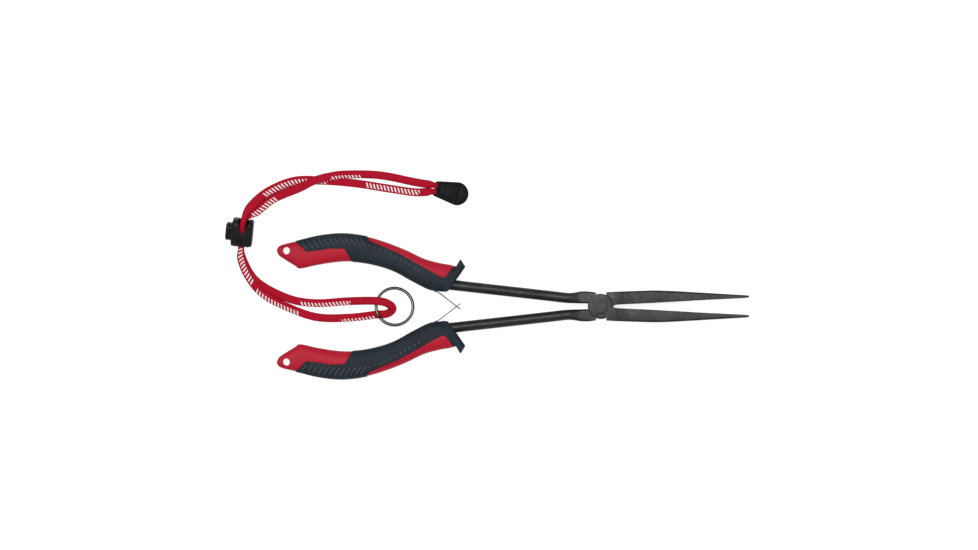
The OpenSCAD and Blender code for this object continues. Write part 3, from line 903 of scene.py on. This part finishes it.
def make_leaf(half, tongue):
    """A leaf along +X from its pin: a rolled eye, the blade, and a window or a tongue at the tip."""
    eye = [(EYE_R * math.cos(a), EYE_R * math.sin(a)) for a in np.radians(np.arange(20, 301, 14))]
    lead = [(2.6, -0.75), (3.6, -0.3), (4.8, -0.05), (6.0, 0.0)]
    blade = [(x, 0.0) for x in np.arange(7.0, LEAF_L - 1.4, 0.8)]
    run = eye + lead + blade
    leaf = strip("leaf", run + [(LEAF_L - 1.3, 0.0)], [LEAF_W] * (len(run) + 1))
    end = LEAF_L + LEAF_PAST
    if tongue:
        tip = [(LEAF_L - 1.8, 0), (LEAF_L, 0), (end - 0.6, 0), (end - 0.1, 0.12), (end + 0.25, 0.32)]
        join(leaf, strip("tongue", tip, [TONGUE_W] * len(tip)))
    else:
        for side in (-1, 1):
            rail = strip("rail", [(LEAF_L - 1.5, 0), (end - 0.5, 0), (end - 0.1, 0)], [RAIL_W] * 3)
            moved(rail, Matrix.Translation((0, 0, side * RAIL_Z)))
            join(leaf, rail)
        tip = [(end - 0.5, 0), (end - 0.1, 0.0), (end + 0.15, -0.12)]
        join(leaf, strip("bridge", tip, [LEAF_W] * 3))
    moved(leaf, Matrix.Translation((*SPRING_PIN, MID_Z)) @ Matrix.Rotation(LEAF_ANGLE, 4, "Z"))
    if half == "lower":
        moved(leaf, TURN_OVER)
    leaf.name = half + "_return_leaf"
    side = 1 if half == "upper" else -1
    finished(leaf, SPRING, 40)
    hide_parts(half + "_spring_leaf")
    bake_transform(leaf)


make_leaf("upper", tongue=False)
make_leaf("lower", tongue=True)

# ---------------------------------------------------------------- split ring

RING_AT = (-70.5, -0.3)
RING_R = 11.9
RING_W, RING_T = 1.75, 1.25
RING_TILT, RING_RISE = math.radians(9.8), math.radians(220)
RING_GAP = 0.1
RING_POWER = 0.55
# Degrees along the coil, closer together where one turn steps onto the other
RING_DEGREES = np.r_[np.arange(0, 335, 6.0), np.arange(335, 372, 3.0), np.arange(375, 712, 6.0)]


def make_ring():
    """Flat wire wound twice; one turn steps onto the other over a short stretch."""
    middle = RING_R - RING_W / 2
    rings = []
    for degrees in RING_DEGREES:
        t = np.clip((degrees - 338) / 30, 0, 1)
        z = RING_T / 2 + (RING_T + RING_GAP) * t * t * (3 - 2 * t)
        a = math.radians(degrees)
        tip = 0.72 if degrees in (RING_DEGREES[0], RING_DEGREES[-1]) else 1.0
        ring = []
        for k in range(12):
            b = 2 * math.pi * k / 12
            u = math.copysign(abs(math.cos(b)) ** RING_POWER, math.cos(b)) * RING_W / 2 * tip
            v = math.copysign(abs(math.sin(b)) ** RING_POWER, math.sin(b)) * RING_T / 2 * tip
            ring.append(((middle + u) * math.cos(a), (middle + u) * math.sin(a), z + v))
        rings.append(ring)
    ring = loft("split_ring_coil", rings)
    lift = RING_R * math.sin(RING_TILT) + 0.02
    moved(ring, Matrix.Translation((*RING_AT, lift)) @ Matrix.Rotation(RING_RISE, 4, "Z")
          @ Matrix.Rotation(-RING_TILT, 4, "Y"))
    finished(ring, NICKEL, 50)
    return show(ring, "ring", "ring_nickel", "split_ring")


ring = make_ring()

# ---------------------------------------------------------------- cord lock

LOCK_W, LOCK_L, LOCK_H = 12.4, 16.6, 10.5
LOCK_ROUND = 3.5
LOCK_PLACE = (Matrix.Translation(tuple(LOCK_AT)) @ Matrix.Rotation(math.radians(-6.5), 4, "Z")
              @ Matrix.Rotation(math.radians(18), 4, "X"))
LOCK_HOLE = (5.0, 6.0)
LOCK_NOTCH = [(-1.1, 0.9), (0.5, 0.9), (4.7, 9.2), (-2.9, 9.2)]
BUTTON_NOTCH = [(-2.9, 0.5), (0.8, 0.5), (5.0, 9.2), (-4.7, 9.2)]
NOTCH_FLOOR = 2.4
SPRING_WIRE, SPRING_KEEP = 0.26, 0.35
LOCK_MOUTH = [(-2.4, 5.3), (2.4, 5.3), (5.2, 9.2), (-3.0, 9.2)]
BUTTON_OUT, BUTTON_FAR = 3.7, 2.7
BUTTON_L, BUTTON_H, BUTTON_ROUND = 10.6, 7.8, 3.0
BUTTON_HOLE = (-4.3, 2.1)


def box_ring(x, length, height, r, inset):
    """A rounded box's outline across X, drawn in by an inset."""
    return [(x, y, z - MID_Z) for x, y, z in
            corner_ring(x, -length / 2 + inset, length / 2 - inset, height / 2 - inset,
                        max(r - inset, 0.5), max(r - inset, 0.5), 6)]


def barrel(name, stations, length, height, r):
    return loft(name, [box_ring(x, length, height, r, inset) for x, inset in stations])


def cube(name, low, high):
    return prism(name, [(low[0], low[1]), (high[0], low[1]), (high[0], high[1]), (low[0], high[1])],
                 low[2], high[2])


def make_lock():
    end = LOCK_W / 2
    body = barrel("cord_lock_shell", [
        (-end, 0.9), (-end + 0.15, 0.45), (-end + 0.6, 0.1), (-end + 1.1, 0), (2.6, 0), (2.85, 0.4),
        (3.35, 0.4), (3.6, 0.05), (4.3, 0.1), (4.55, 0.5), (4.85, 0.55), (5.1, 0.3), (end - 0.25, 0.75),
        (end, 1.3)], LOCK_L, LOCK_H, LOCK_ROUND)
    room = barrel("room", [(-LOCK_W, 0), (end - 0.9, 0)], BUTTON_L + 0.4, BUTTON_H + 0.4, BUTTON_ROUND)
    way = cube("way", (-LOCK_HOLE[0] / 2, -20, -LOCK_HOLE[1] / 2), (LOCK_HOLE[0] / 2, 20, LOCK_HOLE[1] / 2))
    mouth = prism("mouth", LOCK_MOUTH, -LOCK_HOLE[1] / 2 - 1, LOCK_H)
    notch = prism("notch", LOCK_NOTCH, NOTCH_FLOOR, LOCK_H)
    cut(body, room, way, soften(mouth, 0.8, 3, 60), soften(notch, 0.5, 3, 60))
    soften(body, 0.3, 2, 48)
    moved(body, LOCK_PLACE)
    finished(body, BLACK, 40)
    show(body, "lanyard", "black_plastic", "cord_lock_body")

    start = -end - BUTTON_OUT
    button = barrel("cord_lock_plunger", [
        (start, 1.2), (start + 0.2, 0.6), (start + 0.7, 0.12), (start + 1.2, 0), (start + 1.7, 0),
        (start + 1.95, 0.35), (start + 2.35, 0.35), (start + 2.6, 0), (BUTTON_FAR, 0)],
        BUTTON_L, BUTTON_H, BUTTON_ROUND)
    hole = cube("hole", (BUTTON_HOLE[0], -20, -LOCK_HOLE[1] / 2), (BUTTON_HOLE[1], 20, LOCK_HOLE[1] / 2))
    notch = prism("notch", BUTTON_NOTCH, NOTCH_FLOOR, LOCK_H)
    soften(cut(button, hole, notch), 0.25, 2, 48)
    moved(button, LOCK_PLACE)
    finished(button, BLACK, 40)
    show(button, "lock_button", "black_plastic", "cord_lock_button")
    return body, button


def make_lock_spring():
    """A conical spring behind the button."""
    start, end = BUTTON_FAR + 0.05 + SPRING_WIRE, LOCK_W / 2 - 0.9 - 0.05 - SPRING_WIRE
    turns = np.linspace(0, 1, 73)
    path = [(start + (end - start) * np.clip((t - 0.12) / 0.76, 0, 1),
             (2.4 - 0.9 * t) * math.cos(6 * math.pi * t), (2.4 - 0.9 * t) * math.sin(6 * math.pi * t))
            for t in turns]
    spring = loft("cord_lock_coil", swept(path, SPRING_WIRE))
    moved(spring, LOCK_PLACE)
    finished(spring, SPRING, 50)
    show(spring, "lanyard", "spring_steel", "cord_lock_spring")
    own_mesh(spring)
    return spring


lock_body, lock_button = make_lock()
lock_spring = make_lock_spring()

# ---------------------------------------------------------------- cord end

END_R, END_MOUTH, END_T = 6.9, 4.3, 8.6
END_FLOOR = 1.3
LID_T, LID_GAP = 2.4, 0.2
LID_LOW_EDGE, LID_HIGH_EDGE, LID_BACK = 2.2, 1.35, 2.9
MOUTH_BACK = 1.5
LID_LEDGE = 0.5
HINGE_U = -0.6
HINGE_PIN_R = 0.78
HINGE_Z = END_T - LID_T / 2
KNUCKLE_L = 2 * END_R - 2.8
LID_RIBS = (-7.4, -5.0, -3.2)
END_PLACE = (Matrix.Translation((*END_AT, 0)) @ Matrix.Rotation(math.radians(-13.5), 4, "Z"))


def end_outline(inset):
    """Teardrop in plan: a round end and straight sides to a narrower mouth, drawn in by an inset."""
    r = END_R - inset
    arc = [(r * math.cos(a), r * math.sin(a)) for a in np.radians(np.arange(90, -91, -6))]
    x, y = -END_L + inset, END_MOUTH - inset
    return arc + [(x + 0.5, -y - 0.13), (x + 0.12, -y + 0.12), (x, -y + 0.5),
                  (x, y - 0.5), (x + 0.12, y - 0.12), (x + 0.5, y + 0.13)]


def lid_outline(gap=0.0):
    """The lid's plan, grown by a gap on its three free sides. It sits towards one side."""
    def half(u):
        return END_MOUTH + (END_R - END_MOUTH) * (END_L + u) / END_L
    low, high = LID_LOW_EDGE - gap, LID_HIGH_EDGE - gap
    start = -END_L + LID_BACK - gap
    return [(HINGE_U, low - half(HINGE_U)), (start, low - half(start)),
            (start, half(start) - high), (HINGE_U, half(HINGE_U) - high)]


def across(name, r, half):
    """A bar along the lid's hinge line."""
    bar = turned(name, [(r, -half), (r, half)], segments=32)
    return moved(bar, Matrix.Translation((HINGE_U, 0, HINGE_Z)) @ Matrix.Rotation(math.pi / 2, 4, "X"))


def rib_ends(u):
    """Where the lid's two long edges are at a place along it."""
    (u0, low0), (u1, low1), (_, high1), (_, high0) = lid_outline()
    return (float(np.interp(u, (u1, u0), (low1, low0))), float(np.interp(u, (u1, u0), (high1, high0))))


def make_cord_end():
    levels = [(0, 1.0), (0.12, 0.55), (0.45, 0.18), (1.0, 0), (7.2, 0), (7.8, 0.15), (8.25, 0.45),
              (8.5, 0.9), (END_T, 1.25)]
    body = loft("cord_end_shell", [[(x, y, z) for x, y in end_outline(inset)] for z, inset in levels])
    seat = prism("seat", lid_outline(LID_GAP), END_T - LID_T - LID_GAP, END_T + 1)
    room_r, room_l = LID_T / 2 + 0.12, KNUCKLE_L / 2 + LID_GAP
    knuckle_room = across("knuckle", room_r, room_l)
    over = cube("over", (HINGE_U - 0.1, -room_l, HINGE_Z), (HINGE_U + room_r, room_l, END_T + 1))
    chamber = cube("chamber", (-9.8, -4.3, END_FLOOR), (-1.4, 4.3, END_T - LID_T - LID_GAP - 0.4))
    join(chamber, prism("well", lid_outline(-LID_LEDGE), END_FLOOR + 1, END_T))
    channel = cube("channel", (-END_L - 1, -3.65, 1.65), (-END_L + 5, 3.65, 4.55))
    open_top = cube("open_top", (-END_L - 1, -END_R, 4), (-END_L + MOUTH_BACK, END_R, END_T + 1))
    cut(body, seat, knuckle_room, over, chamber, channel, open_top)
    soften(body, 0.2, 2, 50)
    moved(body, END_PLACE)
    finished(body, END_BLACK, 40)
    show(body, "lanyard", "black_plastic", "cord_end_body")

    lid = prism("cord_end_flap", lid_outline(), END_T - LID_T, END_T - 0.3)
    soften(lid, 0.25, 2, 60)
    join(lid, across("knuckle", LID_T / 2, KNUCKLE_L / 2))
    for u in LID_RIBS:
        low, high = (y + z for y, z in zip(rib_ends(u), (0.5, -0.5)))
        rib = loft("rib", [[(u + 0.4 * s * c, y, END_T - 0.5 + 0.42 * t * c)
                            for s, t in ((-1, 0), (1, 0), (0.6, 0.75), (0, 1), (-0.6, 0.75))]
                           for y, c in ((low, 0.6), (low + 0.3, 1), (high - 0.3, 1), (high, 0.6))])
        join(lid, rib)
    cut(lid, across("pin", HINGE_PIN_R, 20))
    moved(lid, END_PLACE)
    finished(lid, END_BLACK, 40)
    show(lid, "end_lid", "black_plastic", "cord_end_lid")
    return body, lid


end_body, end_lid = make_cord_end()

# ---------------------------------------------------------------- inner CAD pieces that stay

for node, material in (("upper_spring_pin", WORN), ("lower_spring_pin", WORN), ("cord_knot", WEAVE),
                       ("cord_end_pin", STEEL)):
    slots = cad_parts[node].data.materials
    slots.clear()
    slots.append(material)

# ---------------------------------------------------------------- floor and light


def make_floor():
    size, z = 3.0, -0.0003    # the lower face's ribs and dots reach a little below zero
    mesh = bpy.data.meshes.new("floor")
    mesh.from_pydata([(-size, -size, z), (size, -size, z), (size, size, z), (-size, size, z)], [],
                     [(0, 1, 2, 3)])
    floor = new_object("floor", mesh)
    m = Nodes("floor")
    m.paint((0.4, 0.4, 0.4))
    m.set(Roughness=0.9, Specular_IOR_Level=0.0, Emission_Color=(1, 1, 1, 1), Emission_Strength=0.78)
    floor.data.materials.append(m.material)


def area_light(name, place, size, power):
    data = bpy.data.lights.new(name, "AREA")
    data.shape = "RECTANGLE"
    data.size, data.size_y = size
    data.energy = power
    light = bpy.data.objects.new(name, data)
    light.location = place
    light.rotation_euler = (-Vector(place)).to_track_quat("-Z", "Y").to_euler()
    bpy.context.scene.collection.objects.link(light)


def make_lights():
    world = bpy.data.worlds.new("studio")
    world.use_nodes = True
    world.node_tree.nodes["Background"].inputs["Color"].default_value = (1, 1, 1, 1)
    world.node_tree.nodes["Background"].inputs["Strength"].default_value = 0.22
    bpy.context.scene.world = world
    area_light("overhead", (-0.25, 0.4, 2.6), (1.5, 1.5), 62.0)
    area_light("side", (1.4, -0.9, 1.5), (0.8, 0.8), 10.0)
    bpy.context.scene.view_settings.view_transform = "Standard"


make_floor()
make_lights()
